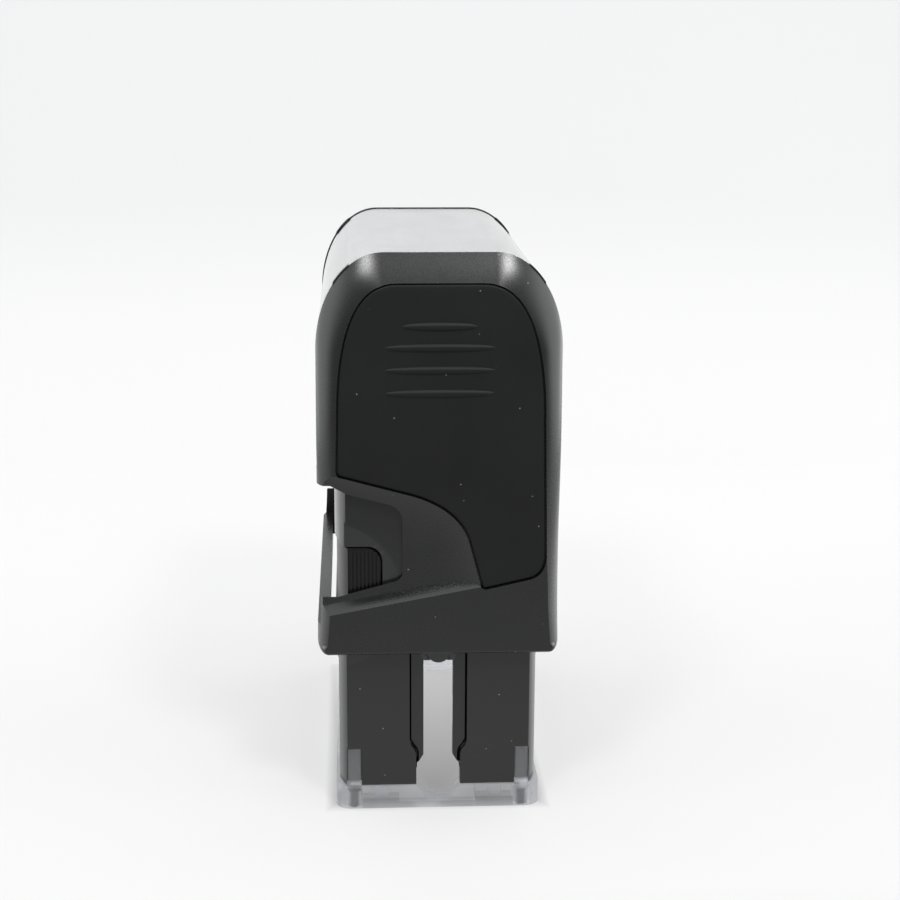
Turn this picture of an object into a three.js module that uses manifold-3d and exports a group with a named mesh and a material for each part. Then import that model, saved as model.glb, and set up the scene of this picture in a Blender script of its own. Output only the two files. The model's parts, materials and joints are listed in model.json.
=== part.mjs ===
// Self-inking stamp for an 18 x 47 mm text plate, in millimetres, +Z up.
// Origin: centre of the footprint on the desk. X runs along the stamp, the front (index window, ink cartridge) faces -Y.
// Pressing the cap lowers the carrier bow, whose arms take the die holder's journals down the slots of the base frame.
// A follower lug on each end of the holder runs in a cam groove in the frame, so the holder turns over on its way down.
import * as THREE from "three";
import { mergeVertices } from "three/addons/utils/BufferGeometryUtils.js";
import Module from "manifold-3d";

const wasm = await Module();
wasm.setup();

// ---- driving dimensions ----
const CAP_LENGTH = 69;
const CAP_DEPTH = 37.5; // at the lower rim
const CAP_DEPTH_TOP = 37; // where the top corners start
const HEIGHT = 88.5;
const CAP_BOTTOM = 26.5;
const TRAVEL = 21.5; // cap stroke
const AXLE_Z = 26.2; // die axle at rest
const FACE_RISE = 4.7; // axle to printing face: the face ends on the desk plane
const PIN_R = 1.8;
const CAM_R = 6; // axle to follower lug
const LUG_R = 1.1;
const CAM_TILT = THREE.MathUtils.degToRad(20);

// ---- derived sizes ----
const CAP_END = CAP_LENGTH / 2;
const CAP_SIDE = CAP_DEPTH / 2;
const CORNER_Z = 74; // the profile's top corners start here
const CORNER_RY = 10.1;
const CORNER_RZ = HEIGHT - CORNER_Z;
const RIM_X = 2.2; // rounding between end face and sides: its reach along the stamp
const RIM_SIDE = 2.7; // and its reach across the end face
const END_WALL_IN = 32.35; // inner face of the cap's end walls
const BAY_X = 31.9; // half length of the window bay between the end rims
const WINDOW_T = 1.1;
const CARD_GAP = 0.15;
const CARD_T = 0.35;
const DECK_IN = 3.7; // inner face of the top deck, below the profile
const DECK_OUT = 1.9;
const SIDE_WALL_IN = 16.95; // inner face of the cap's front and rear walls
const SILL_Z = 53.4; // underside of the crossbar above the cartridge mouth
const SILL_TOP = 56;
const BAND_TOP = 35.5; // top of the lower band at the end walls
const MOUTH_Z = 30.9; // lower edge of the cartridge mouth
const DECK_FOOT_Z = 76; // the deck's legs end here, clear of the frame at full stroke

const FRAME_X = 31.8;
const FRAME_Y = 16;
const FRAME_X_IN = 29.3;
const FRAME_Y_IN = 14.2;
const FRAME_FOOT = 3.9;
const FRAME_TOP = 52;
const FRAME_FLAT_Y = 14.3; // half width of the frame's flat end face
const LEG_TOP = 24; // top of the openings between the legs
const ARM_FLOOR = 30.9; // floor of the arm recess in the end walls
const RECESS_HALF = 4.48;
const SLOT_HALF = 2.3;
const SLOT_TOP = 28.6;
const TOP_PLATE = [44.2, 46];
const GROOVE_DEPTH = 0.9;
const DISH_R = 12; // shallow finger dish round the cartridge's end grip

const TRAY_Z = 31.25; // underside of the cartridge
const TRAY_HEIGHT = 12.05;
const TRAY_BODY_X = 28.9;
const TRAY_FRONT = -15.7;
const TRAY_REAR = 13.9;
const CHEEK_X = 31.35;
const CHEEK_REAR = -8.95;
const CHEEK_HEIGHT = 11.7;
const CHEEK_R = 2.3;
const RIB_PITCH = 0.6;
const RIB_COUNT = 9;

const FOOT_TOP = 3.75;
const SPRING_FOOT = 46.2;
const SPRING_HEAD = 82.2;

// ---- materials ----
const plastic = (color, roughness) => new THREE.MeshStandardMaterial({ color, roughness, metalness: 0 });
const capBlack = plastic(0x303231, 0.35);
const panelBlack = plastic(0x232423, 0.75);
const frameBlack = plastic(0x333534, 0.5);
const carrierGrey = plastic(0x3a3c3d, 0.55);
const buttonGrey = plastic(0x55585a, 0.5);
const clear = new THREE.MeshStandardMaterial({ color: 0xe8ecee, roughness: 0.08, transparent: true, opacity: 0.3 });
const paper = plastic(0xf4f4f2, 0.9);
const felt = plastic(0x15182a, 1);
const foam = plastic(0xcfd0cc, 0.95);
const stampRubber = plastic(0x8d2f2a, 0.8);
const footRubber = plastic(0x1c1c1c, 0.85);
const steel = new THREE.MeshStandardMaterial({ color: 0xb9bcc0, roughness: 0.3, metalness: 1 });

// ---- solids ----
function solid(geometry) {
  const g = geometry.index ? geometry.toNonIndexed() : geometry.clone();
  g.deleteAttribute("normal");
  g.deleteAttribute("uv");
  const merged = mergeVertices(g, 1e-4);
  return new wasm.Manifold(
    new wasm.Mesh({
      numProp: 3,
      vertProperties: merged.attributes.position.array,
      triVerts: new Uint32Array(merged.index.array),
    }),
  );
}

function geometryOf(manifold) {
  const mesh = manifold.getMesh();
  return new THREE.BufferGeometry()
    .setAttribute("position", new THREE.BufferAttribute(new Float32Array(mesh.vertProperties), 3))
    .setIndex(new THREE.BufferAttribute(new Uint32Array(mesh.triVerts), 1));
}

function node(parent, name, body, material, position = [0, 0, 0]) {
  const mesh = new THREE.Mesh(geometryOf(body), material);
  mesh.name = name;
  mesh.position.set(...position);
  mesh.geometry.computeVertexNormals();
  parent.add(mesh);
}

function assembly(parent, name, position = [0, 0, 0]) {
  const made = new THREE.Group();
  made.name = name;
  made.position.set(...position);
  if (parent) parent.add(made);
  return made;
}

const AXES = {
  X: [new THREE.Vector3(0, 1, 0), new THREE.Vector3(0, 0, 1), new THREE.Vector3(1, 0, 0)],
  Y: [new THREE.Vector3(0, 0, 1), new THREE.Vector3(1, 0, 0), new THREE.Vector3(0, 1, 0)],
  Z: [new THREE.Vector3(1, 0, 0), new THREE.Vector3(0, 1, 0), new THREE.Vector3(0, 0, 1)],
};

// A shape drawn in the plane across an axis, from low to high along it. X takes (y, z), Y takes (z, x), Z takes (x, y).
function prism(axis, shape, low, high, options = {}) {
  const { bevel = 0, bevelSize = bevel, curveSegments = 8 } = options;
  const geometry = new THREE.ExtrudeGeometry(shape, {
    depth: high - low - 2 * bevel,
    curveSegments,
    bevelEnabled: bevel > 0,
    bevelThickness: bevel,
    bevelSize,
    bevelOffset: -bevelSize,
    bevelSegments: 4,
  });
  geometry.translate(0, 0, low + bevel);
  geometry.applyMatrix4(new THREE.Matrix4().makeBasis(...AXES[axis]));
  return solid(geometry);
}

function polygon(points) {
  return new THREE.Shape(points.map(([u, v]) => new THREE.Vector2(u, v)));
}

function box(x0, x1, y0, y1, z0, z1) {
  return solid(
    new THREE.BoxGeometry(x1 - x0, y1 - y0, z1 - z0).translate((x0 + x1) / 2, (y0 + y1) / 2, (z0 + z1) / 2),
  );
}

function cylinder(axis, r, at, low, high, segments = 24) {
  const circle = new THREE.Shape().absarc(at[0], at[1], r, 0, 2 * Math.PI);
  return prism(axis, circle, low, high, { curveSegments: segments / 2 });
}

function roundedRect(u0, u1, v0, v1, r) {
  const s = new THREE.Shape();
  s.moveTo(u0 + r, v0);
  s.lineTo(u1 - r, v0);
  s.absarc(u1 - r, v0 + r, r, -Math.PI / 2, 0);
  s.lineTo(u1, v1 - r);
  s.absarc(u1 - r, v1 - r, r, 0, Math.PI / 2);
  s.lineTo(u0 + r, v1);
  s.absarc(u0 + r, v1 - r, r, Math.PI / 2, Math.PI);
  s.lineTo(u0, v0 + r);
  s.absarc(u0 + r, v0 + r, r, Math.PI, 1.5 * Math.PI);
  return s;
}

const join = (bodies) => bodies.reduce((a, b) => a.add(b));
const mirrorX = (body) => body.mirror([1, 0, 0]);
const bothEnds = (body) => body.add(mirrorX(body));

// ---- cap outline, seen along X, pulled in by an offset ----
function capOutline(offset, bottom) {
  const side = CAP_SIDE - offset;
  const top = CAP_DEPTH_TOP / 2 - offset;
  const ry = CORNER_RY - offset;
  const rz = CORNER_RZ - offset;
  const s = new THREE.Shape();
  s.moveTo(-side, bottom);
  s.lineTo(side, bottom);
  s.lineTo(top, CORNER_Z);
  s.absellipse(top - ry, CORNER_Z, ry, rz, 0, Math.PI / 2);
  s.lineTo(ry - top, HEIGHT - offset);
  s.absellipse(ry - top, CORNER_Z, ry, rz, Math.PI / 2, Math.PI);
  return s;
}

// A shell between two offsets of the cap outline, above a level.
function capBand(outer, inner, x0, x1, level) {
  const low = level - 10;
  const ring = prism("X", capOutline(outer, low), x0, x1).subtract(prism("X", capOutline(inner, low - 5), x0 - 1, x1 + 1));
  return ring.subtract(box(x0 - 1, x1 + 1, -CAP_DEPTH, CAP_DEPTH, low - 9, level));
}

// Where the top turns into the front and rear, the end rims reach in by a small tab that fills a notch in the window.
function cornerTabs(clearance) {
  const tab = (side) =>
    box(BAY_X - 1.3 - clearance, BAY_X + 1, side * 14.6 - 1.2 - clearance, side * 14.6 + 1.2 + clearance, 80, 90);
  return bothEnds(tab(-1).add(tab(1)));
}

// ---- end face details of the cap, drawn as (y, z) ----
function panelOutline(grow) {
  const s = new THREE.Shape();
  s.moveTo(-14.4 - grow, 54.9 - grow);
  s.lineTo(-6, 52.6 - grow);
  s.quadraticCurveTo(3.6 - grow, 50.4 - grow, 4.9 - grow, 43.7);
  s.lineTo(6.7 - grow, 37.1 - grow);
  s.lineTo(13.9, 38.7 - grow);
  s.quadraticCurveTo(16.2 + grow, 39.4 - grow, 16.2 + grow, 42.4);
  s.lineTo(15.7 + grow, 66);
  s.bezierCurveTo(15.3 + grow, 76, 13 + grow, 84 + grow, 6.5, 84 + grow);
  s.lineTo(-6.5, 84 + grow);
  s.bezierCurveTo(-12.8 - grow, 84 + grow, -15 - grow, 76, -15.3 - grow, 66);
  s.lineTo(-15.5 - grow, 56.4);
  s.closePath();
  return s;
}

function mouthOutline() {
  const s = new THREE.Shape();
  s.moveTo(-CAP_DEPTH, BAND_TOP);
  s.lineTo(-15.5, BAND_TOP);
  s.lineTo(-6.6, 37.9);
  s.quadraticCurveTo(-5.6, 38.2, -5.6, 39.2);
  s.lineTo(-5.6, 47.9);
  s.quadraticCurveTo(-5.6, 49.8, -7.4, 50.3);
  s.lineTo(-14, 52);
  s.lineTo(-16.5, SILL_Z);
  s.lineTo(-CAP_DEPTH, SILL_Z);
  s.closePath();
  return s;
}

// The finger scoop: a wedge that deepens towards the front, between the panel's edge and the ridge of the lower band.
function scoop() {
  const region = polygon([
    [-CAP_DEPTH, 57], [-14.6, 54.3], [-6.2, 52], [0.2, 49.6], [3.4, 46.4], [4.5, 42.8], [5.9, 37.4], [-CAP_DEPTH, 29.6],
  ]);
  const slope = polygon([[CAP_END + 1, 6.2], [CAP_END, 6.2], [CAP_END - 1.35, -CAP_DEPTH], [CAP_END + 1, -CAP_DEPTH]]);
  return prism("X", region, CAP_END - 3, CAP_END + 1).intersect(prism("Z", slope, 20, 60));
}

function capShell() {
  const outer = prism("X", capOutline(0, CAP_BOTTOM - 4), -CAP_END, CAP_END, {
    bevel: RIM_X,
    bevelSize: RIM_SIDE,
    curveSegments: 9,
  });
  const belowRim = box(-CAP_END - 1, CAP_END + 1, -CAP_DEPTH, CAP_DEPTH, CAP_BOTTOM - 10, CAP_BOTTOM);
  const windowBay = capBand(-5, DECK_OUT, -BAY_X, BAY_X, SILL_TOP).subtract(cornerTabs(0));
  const cavity = prism("X", capOutline(DECK_IN, CAP_BOTTOM - 5), -END_WALL_IN, END_WALL_IN);
  const frameSpace = box(-END_WALL_IN, END_WALL_IN, -SIDE_WALL_IN, SIDE_WALL_IN, CAP_BOTTOM - 5, DECK_FOOT_Z);
  const bayOpening = box(-BAY_X, BAY_X, -CAP_DEPTH, CAP_DEPTH, SILL_TOP, DECK_FOOT_Z);
  const mouth = box(-BAY_X, BAY_X, -CAP_DEPTH, -10, MOUTH_Z, SILL_Z);
  const endMouth = prism("X", mouthOutline(), BAY_X - 0.5, CAP_END + 1);
  const panelSeat = prism("X", panelOutline(0.22), 33.35, CAP_END + 1);
  const [holeX, holeZ] = BUTTON_HALF.map((half) => half + 0.15);
  const buttonHole = prism("Y", roundedRect(LOCK_Z - holeZ, LOCK_Z + holeZ, -holeX, holeX, 1.5), 10, CAP_DEPTH, {
    curveSegments: 4,
  });
  return [
    belowRim, windowBay, cavity, frameSpace, bayOpening, mouth, bothEnds(endMouth),
    bothEnds(panelSeat), bothEnds(scoop()), buttonHole,
  ].reduce((body, cut) => body.subtract(cut), outer);
}

// Four low ribs across the upper part of the side panel give grip.
function sidePanel() {
  const plate = prism("X", panelOutline(0), 33.5, 34.25, { curveSegments: 6 });
  const ribs = [[67.8, 8.2], [71.2, 8.2], [74.6, 8.2], [77.9, 5.4]].map(([z, half]) =>
    box(34.2, 34.45, -half, half, z - 0.2, z + 0.2),
  );
  return join([plate, ...ribs]);
}

function indexWindow() {
  return capBand(0, WINDOW_T, -BAY_X + 0.1, BAY_X - 0.1, SILL_TOP + 0.15).subtract(cornerTabs(0.15));
}

function indexCard() {
  const face = WINDOW_T + CARD_GAP;
  return capBand(face, face + CARD_T, -BAY_X + 0.6, BAY_X - 0.6, SILL_TOP + 0.5).subtract(cornerTabs(0.3));
}

// ---- carrier bow: bridge under the deck and two arms that end in snap bearings ----
const ARM_IN = 31.2;
const ARM_OUT = 32.1;
const BRIDGE = [82.3, 84.5];

function carrierBow() {
  const bridge = box(-ARM_OUT, ARM_OUT, -8, 8, ...BRIDGE);
  const armOutline = [[2.4, 24.8], [2.8, 25.8], [2.8, 30], [4.1, 34.2], [4.1, BRIDGE[1]]];
  const otherSide = armOutline.map(([y, z]) => [-y, z]).reverse();
  const arm = prism("X", polygon([...armOutline, ...otherSide]), ARM_IN, ARM_OUT);
  const bearing = cylinder("X", PIN_R + 0.1, [0, AXLE_Z], ARM_IN - 1, ARM_OUT + 1, 24);
  const gusset = prism("Y", polygon([[BRIDGE[0], ARM_IN], [BRIDGE[0], 25], [76, ARM_IN]]), -0.8, 0.8);
  const spigot = cylinder("Z", 4.6, [0, 0], 78.5, BRIDGE[0] + 0.5);
  return join([bridge, spigot, bothEnds(join([arm, gusset]).subtract(bearing))]);
}

// ---- main spring: closed at both ends, open in between ----
function mainSpring() {
  const wire = 0.55;
  const radius = 6;
  const turns = 9;
  const low = SPRING_FOOT + wire;
  const high = SPRING_HEAD - wire;
  const closed = 1; // turns laid flat at each end
  const pitchless = (2 * wire + 0.1) * closed;
  class Helix extends THREE.Curve {
    getPoint(t, target = new THREE.Vector3()) {
      const turn = t * turns;
      const angle = 2 * Math.PI * turn;
      let z;
      if (turn < closed) z = low + (pitchless * turn) / closed;
      else if (turn > turns - closed) z = high - (pitchless * (turns - turn)) / closed;
      else {
        const share = (turn - closed) / (turns - 2 * closed);
        z = low + pitchless + share * (high - low - 2 * pitchless);
      }
      return target.set(radius * Math.cos(angle), radius * Math.sin(angle), z);
    }
  }
  const section = polygon([...Array(6).keys()].map((k) => [wire * Math.cos((k * Math.PI) / 3), wire * Math.sin((k * Math.PI) / 3)]));
  return solid(new THREE.ExtrudeGeometry(section, { steps: turns * 18, extrudePath: new Helix() }));
}

// ---- lock button in the rear wall: a flange behind the wall and a nib that drops into the frame's windows ----
const LOCK_Z = 30.5;
const BUTTON_HALF = [4.45, 2.35]; // half width, half height

function lockButton() {
  const [halfX, halfZ] = BUTTON_HALF;
  const face = prism("Y", roundedRect(-halfZ, halfZ, -halfX, halfX, 1.4), 16.5, CAP_SIDE - 0.2, { curveSegments: 4 });
  const flange = box(-halfX - 1.1, halfX + 1.1, 16.2, 16.85, -halfZ - 0.95, halfZ + 0.95);
  const nib = box(-1.4, 1.4, 15.5, 16.4, -0.8, 0.8);
  return join([face, flange, nib]);
}

// ---- the cam: where the follower lug is when the holder has turned by theta ----
function lugAt(theta) {
  const drop = (TRAVEL * theta) / Math.PI;
  const angle = Math.PI + CAM_TILT - theta;
  return new THREE.Vector2(CAM_R * Math.cos(angle), AXLE_Z - drop + CAM_R * Math.sin(angle));
}

// The groove's outline: the lug's path widened to both sides, with square ends.
function camGroove(halfWidth) {
  const steps = 20;
  const path = [...Array(steps + 1).keys()].map((k) => lugAt((Math.PI * k) / steps));
  const tangents = path.map((p, k) =>
    path[Math.min(k + 1, steps)].clone().sub(path[Math.max(k - 1, 0)]).normalize(),
  );
  path[0].addScaledVector(tangents[0], -halfWidth);
  path[steps].addScaledVector(tangents[steps], halfWidth);
  const side = (sign) => path.map((p, k) => [p.x - sign * halfWidth * tangents[k].y, p.y + sign * halfWidth * tangents[k].x]);
  return polygon([...side(1), ...side(-1).reverse()]);
}

// ---- base frame ----
function endSlot() {
  return polygon([
    [-SLOT_HALF, SLOT_TOP], [-SLOT_HALF, 8.6], [-3.45, 6.7], [-3.45, -1], [3.45, -1], [3.45, 6.7], [SLOT_HALF, 8.6],
    [SLOT_HALF, SLOT_TOP],
  ]);
}

function armRecess() {
  const side = [[3.45, 7.3], [3.45, 9], [3.65, 9.7], [4.25, 10.5], [RECESS_HALF, 11.3], [RECESS_HALF, 60]];
  const otherSide = side.map(([y, z]) => [-y, z]).reverse();
  return polygon([...side, ...otherSide]);
}

function cheekCut() {
  const z0 = MOUTH_Z - 0.1;
  const z1 = TRAY_Z + CHEEK_HEIGHT + 0.25;
  const y1 = CHEEK_REAR + 0.3;
  const s = new THREE.Shape();
  s.moveTo(-20, z0);
  s.lineTo(y1, z0);
  s.lineTo(y1, z1 - CHEEK_R);
  s.absarc(y1 - CHEEK_R, z1 - CHEEK_R, CHEEK_R, 0, Math.PI / 2);
  s.lineTo(-20, z1);
  s.closePath();
  return s;
}

/** The frame seen from above: long, slightly rounded tapers lead from the end faces to the front and rear walls. */
function frameOutline(offset) {
  const taper = [[0, FRAME_FLAT_Y], [0.75, 14.72], [1.9, 15.14], [3.4, 15.52], [5.2, 15.82], [7.4, FRAME_Y]];
  const quarter = taper.map(([inward, y]) => [FRAME_X - offset - inward, y - offset]);
  const back = quarter.map(([x, y]) => [-x, y]).reverse();
  const half = [...quarter, ...back];
  return polygon([...half, ...half.map(([x, y]) => [-x, -y])]);
}

function baseFrame() {
  const block = prism("Z", frameOutline(0), FRAME_FOOT, FRAME_TOP);
  const inside = box(-FRAME_X_IN, FRAME_X_IN, -FRAME_Y_IN, FRAME_Y_IN, 0, 60);
  const legWindow = box(-28.2, 28.2, -20, 20, 0, LEG_TOP);
  const trayFront = box(-TRAY_BODY_X - 0.3, TRAY_BODY_X + 0.3, -20, -10, MOUTH_Z - 0.1, TRAY_Z + TRAY_HEIGHT + 0.3);
  const endCuts = join([
    prism("X", endSlot(), FRAME_X_IN - 1, FRAME_X + 1),
    prism("X", armRecess(), ARM_FLOOR, FRAME_X + 1),
    prism("X", camGroove(LUG_R + 0.2), FRAME_X_IN - 1, FRAME_X_IN + GROOVE_DEPTH),
    prism("X", cheekCut(), FRAME_X_IN - 1, FRAME_X + 1, { curveSegments: 6 }),
    box(30.05, FRAME_X + 1, -14.4, -12.1, 0, 10.05),
    box(30.05, FRAME_X + 1, 12.1, 14.4, 0, 10.05),
  ]);
  const dish = cylinder("X", DISH_R, [-17.5, 35.5], FRAME_X - 0.35, FRAME_X + 1, 48).subtract(
    box(FRAME_X - 1, FRAME_X + 2, -40, 0, 0, MOUTH_Z - 0.1),
  );
  const lockChannel = box(-6.2, 6.2, 15.1, 20, 0, 34.4);
  const lockWindows = [LOCK_Z, LOCK_Z - 4.8].map((z) => box(-1.8, 1.8, 13, 20, z - 1.15, z + 1.15));
  const rail = box(27, FRAME_X_IN + 0.5, -FRAME_Y_IN - 0.5, FRAME_Y_IN + 0.5, 29.3, 31.05);
  const topPlate = box(-FRAME_X_IN - 0.5, FRAME_X_IN + 0.5, -FRAME_Y_IN - 0.5, FRAME_Y_IN + 0.5, ...TOP_PLATE);
  const spigot = cylinder("Z", 4.6, [0, 0], TOP_PLATE[1] - 0.5, 49.5);
  const walls = [inside, legWindow, trayFront, bothEnds(endCuts.add(dish)), lockChannel, ...lockWindows].reduce(
    (body, cut) => body.subtract(cut),
    block,
  );
  const railsTrimmed = bothEnds(rail).subtract(bothEnds(prism("X", cheekCut(), FRAME_X_IN, FRAME_X + 1)));
  return join([walls, railsTrimmed, topPlate, spigot]);
}

// ---- clear foot: a ring with four prongs that clip into the frame's lower corners ----
const FOOT_X = 32;
const FOOT_Y = 16.1;
const PAD_SPOT = [30.5, 13.25];
const PAD_R = 1.15;

function clearFoot() {
  const ring = prism("Z", roundedRect(-FOOT_X, FOOT_X, -FOOT_Y, FOOT_Y, 2.2), 0, FOOT_TOP, { curveSegments: 4 }).subtract(
    box(-28.4, 28.4, -13.8, 13.8, -1, 10),
  );
  const octagon = prism("X", polygon([[-1.6, 1.2], [1.6, 1.2], [3.45, FOOT_TOP], [3.45, 8], [-3.45, 8], [-3.45, FOOT_TOP]]), 20, 40);
  const prongs = [-13.25, 13.25].map((y) => box(30.2, 31.7, y - 1, y + 1, FOOT_TOP - 0.5, 9.9));
  const sockets = [-1, 1].map((side) => cylinder("Z", PAD_R + 0.1, [PAD_SPOT[0], side * PAD_SPOT[1]], -1, 2.85, 16));
  const pockets = [-1, 1].map((side) => box(29.3, 30.9, side * 9 - 1.1, side * 9 + 1.1, 1.5, FOOT_TOP + 1));
  const pads = [-1, 1].map((side) => box(26.2, 28.6, side * 9.1 - 3, side * 9.1 + 3, 0, FOOT_TOP));
  const end = join([...prongs, ...pads]);
  return ring.add(bothEnds(end)).subtract(bothEnds(join([octagon, ...sockets, ...pockets])));
}

// ---- ink cartridge, from its underside up ----
function inkTray() {
  const body = box(-TRAY_BODY_X, TRAY_BODY_X, TRAY_FRONT, TRAY_REAR, 0, TRAY_HEIGHT);
  const padSeat = box(-25.6, 25.6, -11, 11, -5, 4.75);
  const cheekShape = new THREE.Shape();
  cheekShape.moveTo(TRAY_FRONT, 0);
  cheekShape.lineTo(CHEEK_REAR, 0);
  cheekShape.lineTo(CHEEK_REAR, CHEEK_HEIGHT - CHEEK_R);
  cheekShape.absarc(CHEEK_REAR - CHEEK_R, CHEEK_HEIGHT - CHEEK_R, CHEEK_R, 0, Math.PI / 2);
  cheekShape.lineTo(TRAY_FRONT, CHEEK_HEIGHT);
  cheekShape.closePath();
  const cheek = prism("X", cheekShape, TRAY_BODY_X - 0.5, CHEEK_X, { curveSegments: 6 });
  const ribs = [...Array(RIB_COUNT).keys()].map((k) => {
    const y = CHEEK_REAR - 0.35 - k * RIB_PITCH;
    const intoCorner = Math.max(0, y - (CHEEK_REAR - CHEEK_R));
    const top = CHEEK_HEIGHT - CHEEK_R + Math.sqrt(CHEEK_R ** 2 - intoCorner ** 2) - 0.15;
    return box(CHEEK_X - 0.1, CHEEK_X + 0.3, y - 0.16, y + 0.16, 0.2, top);
  });
  const tapered = prism("Z", frameOutline(0.3), -1, TRAY_HEIGHT + 1);
  const wide = box(-CHEEK_X - 1, CHEEK_X + 1, TRAY_FRONT + 2.2, TRAY_REAR + 1, -1, TRAY_HEIGHT + 1);
  return body.subtract(padSeat).add(bothEnds(join([cheek, ...ribs]))).intersect(tapered.add(wide));
}

const inkPad = () => box(-25.3, 25.3, -10.8, 10.8, 0.05, 4.5);

// ---- die holder with moulded journals, and what it carries, from the axle up ----
const PLATE_TOP = 1.6;
const FOAM_T = 1.1;

function dieHolder() {
  const plate = box(-26, 26, -9.4, 9.4, -0.1, PLATE_TOP);
  const spine = cylinder("X", 2.4, [0, 0], -TRAY_BODY_X, TRAY_BODY_X);
  const abovePlate = box(-26.5, 26.5, -10, 10, PLATE_TOP, PLATE_TOP + 5);
  const lug = lugAt(0).sub(new THREE.Vector2(0, AXLE_Z));
  const across = new THREE.Vector2(-lug.y, lug.x).setLength(1.4);
  const lever = prism(
    "X",
    polygon([
      [across.x, across.y],
      [lug.x + across.x, lug.y + across.y],
      [lug.x - across.x, lug.y - across.y],
      [-across.x, -across.y],
    ]),
    27.2,
    TRAY_BODY_X,
  );
  const leverTip = cylinder("X", 1.4, [lug.x, lug.y], 27.2, TRAY_BODY_X, 16);
  const follower = cylinder("X", LUG_R, [lug.x, lug.y], 28.5, FRAME_X_IN + GROOVE_DEPTH - 0.2, 16);
  const journal = cylinder("X", PIN_R, [0, 0], 28.5, ARM_OUT);
  return join([plate, spine, bothEnds(join([lever, leverTip, follower, journal]))]).subtract(abovePlate);
}

const dieFoam = () => box(-24, 24, -8.6, 8.6, PLATE_TOP + 0.05, PLATE_TOP + FOAM_T - 0.05);

// The printing face is a plain border and bars in place of text.
function rubberDie() {
  const relief = FACE_RISE - 0.7;
  const back = box(-23.5, 23.5, -8.4, 8.4, PLATE_TOP + FOAM_T, relief + 0.1);
  const border = box(-23, 23, -7.9, 7.9, relief, FACE_RISE).subtract(box(-22.3, 22.3, -7.2, 7.2, relief - 1, FACE_RISE + 1));
  const bars = [[15, 3.6], [19, 0], [17, -3.6]].map(([half, y]) => box(-half, half, y - 0.9, y + 0.9, relief, FACE_RISE));
  return join([back, border, ...bars]);
}

// ---- assembly: one group for each body that moves on its own ----
const stamp = assembly(null, "stamp");

const base = assembly(stamp, "base");
node(base, "base_frame", baseFrame(), frameBlack);
node(base, "clear_foot", clearFoot(), clear);
[[1, -1], [1, 1], [-1, -1], [-1, 1]].forEach(([sx, sy], k) => {
  const pad = cylinder("Z", PAD_R, [0, 0], 0, 2.7, 16);
  node(base, `foot_pad_${k + 1}`, pad, footRubber, [sx * PAD_SPOT[0], sy * PAD_SPOT[1], 0]);
});

const cap = assembly(base, "cap");
node(cap, "cap_shell", capShell(), capBlack);
node(cap, "side_panel_right", sidePanel(), panelBlack);
node(cap, "side_panel_left", mirrorX(sidePanel()), panelBlack);
node(cap, "index_card", indexCard(), paper);
node(cap, "carrier_bow", carrierBow(), carrierGrey);
node(cap, "main_spring", mainSpring(), steel);

const windowCover = assembly(cap, "window_cover");
node(windowCover, "index_window", indexWindow(), clear);

const lock = assembly(cap, "lock", [0, 0, LOCK_Z]);
node(lock, "lock_button", lockButton(), buttonGrey);

const die = assembly(cap, "die", [0, 0, AXLE_Z]);
node(die, "die_holder", dieHolder(), carrierGrey);
node(die, "die_foam", dieFoam(), foam);
node(die, "rubber_die", rubberDie(), stampRubber);

const cartridge = assembly(base, "cartridge", [0, 0, TRAY_Z]);
node(cartridge, "ink_tray", inkTray(), frameBlack);
node(cartridge, "ink_pad", inkPad(), felt);

export default stamp;
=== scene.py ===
"""Looks of a self-inking desk stamp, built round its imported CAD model.

Shapes are worked out in millimetres, in the model's frame, and turned into metres when a piece is
finished. X runs along the stamp, its front faces -Y and Z is up.
"""

import json
import math

import bmesh
import bpy
import numpy as np
from mathutils import Matrix, Vector


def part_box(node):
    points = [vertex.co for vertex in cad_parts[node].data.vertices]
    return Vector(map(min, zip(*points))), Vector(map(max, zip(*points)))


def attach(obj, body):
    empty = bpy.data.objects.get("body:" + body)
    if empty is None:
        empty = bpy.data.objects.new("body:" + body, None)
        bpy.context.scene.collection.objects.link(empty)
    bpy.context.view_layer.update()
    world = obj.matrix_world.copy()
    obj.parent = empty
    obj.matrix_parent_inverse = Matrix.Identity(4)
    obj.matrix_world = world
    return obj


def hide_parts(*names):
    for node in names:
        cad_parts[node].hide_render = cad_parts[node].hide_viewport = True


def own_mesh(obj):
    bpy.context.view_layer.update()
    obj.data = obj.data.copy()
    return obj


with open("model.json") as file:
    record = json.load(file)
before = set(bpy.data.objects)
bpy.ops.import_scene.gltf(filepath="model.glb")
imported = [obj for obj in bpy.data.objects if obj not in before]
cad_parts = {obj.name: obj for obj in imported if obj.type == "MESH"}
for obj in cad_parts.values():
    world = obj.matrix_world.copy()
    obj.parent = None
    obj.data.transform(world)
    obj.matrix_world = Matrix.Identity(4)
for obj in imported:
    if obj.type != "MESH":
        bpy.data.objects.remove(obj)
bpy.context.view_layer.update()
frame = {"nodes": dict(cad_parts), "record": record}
MM = 0.001


def box_mm(node):
    low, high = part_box(node)
    return low / MM, high / MM


# ---- sizes taken from the frame ----
CAP_LOW, CAP_HIGH = box_mm("cap_shell")
WINDOW_LOW, WINDOW_HIGH = box_mm("index_window")
CARD_LOW, CARD_HIGH = box_mm("index_card")
PANEL_LOW, PANEL_HIGH = box_mm("side_panel_right")
SPRING_LOW, SPRING_HIGH = box_mm("main_spring")
BUTTON_LOW, BUTTON_HIGH = box_mm("lock_button")
FRAME_END = box_mm("base_frame")[1].x
TRAY_BOTTOM = box_mm("ink_tray")[0].z

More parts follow.
